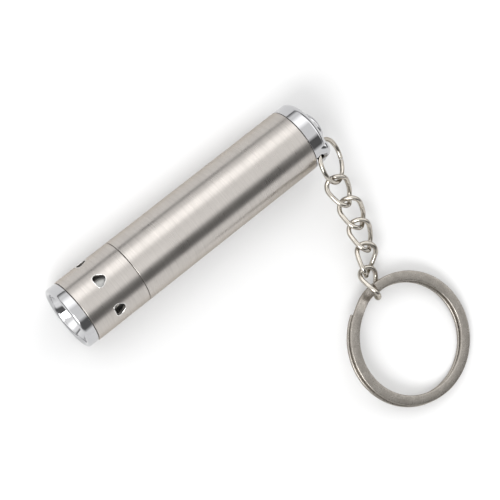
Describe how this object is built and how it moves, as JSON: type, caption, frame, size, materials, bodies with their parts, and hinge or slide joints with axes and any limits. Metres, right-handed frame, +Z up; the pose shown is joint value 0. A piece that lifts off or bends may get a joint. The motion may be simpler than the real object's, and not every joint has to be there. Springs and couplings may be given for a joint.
{
  "type": "keychain flashlight",
  "caption": "Slim steel keychain flashlight with a bright bezel, three-cornered cut-outs near the light end, a tail push button, a short curb chain and a split ring.",
  "frame": {"origin": "on the flat facet that the tube rests on, under the tube's axis, near the middle of its length", "axes": "+X along the tube towards the push button (the light shines towards -X), +Z up from the surface it lies on, the chain and split ring lie on the -Y side"},
  "size_m": [0.0714, 0.071, 0.0145],
  "materials": {
    "steel": "fine brushing round the tube, warm grey",
    "chrome": "bright polished plating",
    "mirror_cup": "mirror-bright reflector",
    "frosted_alloy": "satin silver",
    "led_resin": "clear warm-white resin",
    "board": "green circuit board",
    "brass": "plain stamped brass",
    "rubber": "black seal rubber",
    "liner": "off-white plastic",
    "cell_wrap": "plain blue shrink wrap",
    "switch_plastic": "black moulded plastic",
    "nickel": "nickel-plated wire, slightly warm",
    "ring_steel": "tumbled nickel-plated flat wire"
  },
  "bodies": {
    "tube": {"body_tube": "steel", "tail_cap": "chrome", "neck_ring": "steel", "o_ring": "rubber", "battery_sleeve": "liner", "cell_can": "cell_wrap", "cell_tip": "nickel", "contact_spring": "brass", "tail_contact": "brass", "switch_housing": "switch_plastic"},
    "lamp_module": {"lamp_barrel": "frosted_alloy", "led": "led_resin", "led_board": "board", "front_contact": "brass"},
    "head": {"head_sleeve": "steel", "front_bezel": "chrome", "reflector": "mirror_cup"},
    "button": {"push_button": "chrome", "switch_plunger": "liner"},
    "jump_ring": {"jump_ring": "nickel"},
    "link_a": {"link_a": "nickel"},
    "link_b": {"link_b": "nickel"},
    "link_c": {"link_c": "nickel"},
    "link_d": {"link_d": "nickel"},
    "link_e": {"link_e": "nickel"},
    "split_ring": {"split_ring": "ring_steel"}
  },
  "joints": [
    {"name": "head_travel", "type": "slide", "parent": "tube", "child": "lamp_module", "axis": [-1, 0, 0], "range_m": [0, 0.0015]},
    {"name": "head_turn", "type": "hinge", "parent": "lamp_module", "child": "head", "pos_m": [-0.025, 0, 0.00726], "axis": [-1, 0, 0], "range_deg": [0, 720]},
    {"name": "button_press", "type": "slide", "parent": "tube", "child": "button", "axis": [-1, 0, 0], "range_m": [0, 0.0009], "stiffness_N_per_m": 500},
    {"name": "jump_ring_swing", "type": "hinge", "parent": "tube", "child": "jump_ring", "pos_m": [0.02975, -0.00447, 0.01088], "axis": [0.72, 0.5805, -0.3803], "range_deg": [-50, 6]},
    {"name": "link_a_swing", "type": "hinge", "parent": "jump_ring", "child": "link_a", "pos_m": [0.02947, -0.01237, 0.00806], "axis": [-0.691, 0.2522, 0.6774], "range_deg": [-60, 18]},
    {"name": "link_b_swing", "type": "hinge", "parent": "link_a", "child": "link_b", "pos_m": [0.02989, -0.01783, 0.00548], "axis": [0.6786, 0.2602, -0.6869], "range_deg": [-60, 50]},
    {"name": "link_c_swing", "type": "hinge", "parent": "link_b", "child": "link_c", "pos_m": [0.02927, -0.02347, 0.00456], "axis": [0.7427, 0.0628, -0.6667], "range_deg": [-40, 18]},
    {"name": "link_d_swing", "type": "hinge", "parent": "link_c", "child": "link_d", "pos_m": [0.02765, -0.02849, 0.00395], "axis": [0.5942, -0.0147, -0.8041], "range_deg": [-60, 5]},
    {"name": "link_e_swing", "type": "hinge", "parent": "link_d", "child": "link_e", "pos_m": [0.02393, -0.03255, 0.00339], "axis": [0.3397, -0.1042, -0.9347], "range_deg": [-8, 18]},
    {"name": "split_ring_swing", "type": "hinge", "parent": "link_e", "child": "split_ring", "pos_m": [0.02299, -0.03778, 0.004], "axis": [0.0374, -0.0949, -0.9948], "range_deg": [-4, 45]}
  ],
  "couplings": [
    {"joint": "head_turn", "follows": "head_travel", "rad_per_m": 8377.6}
  ]
}
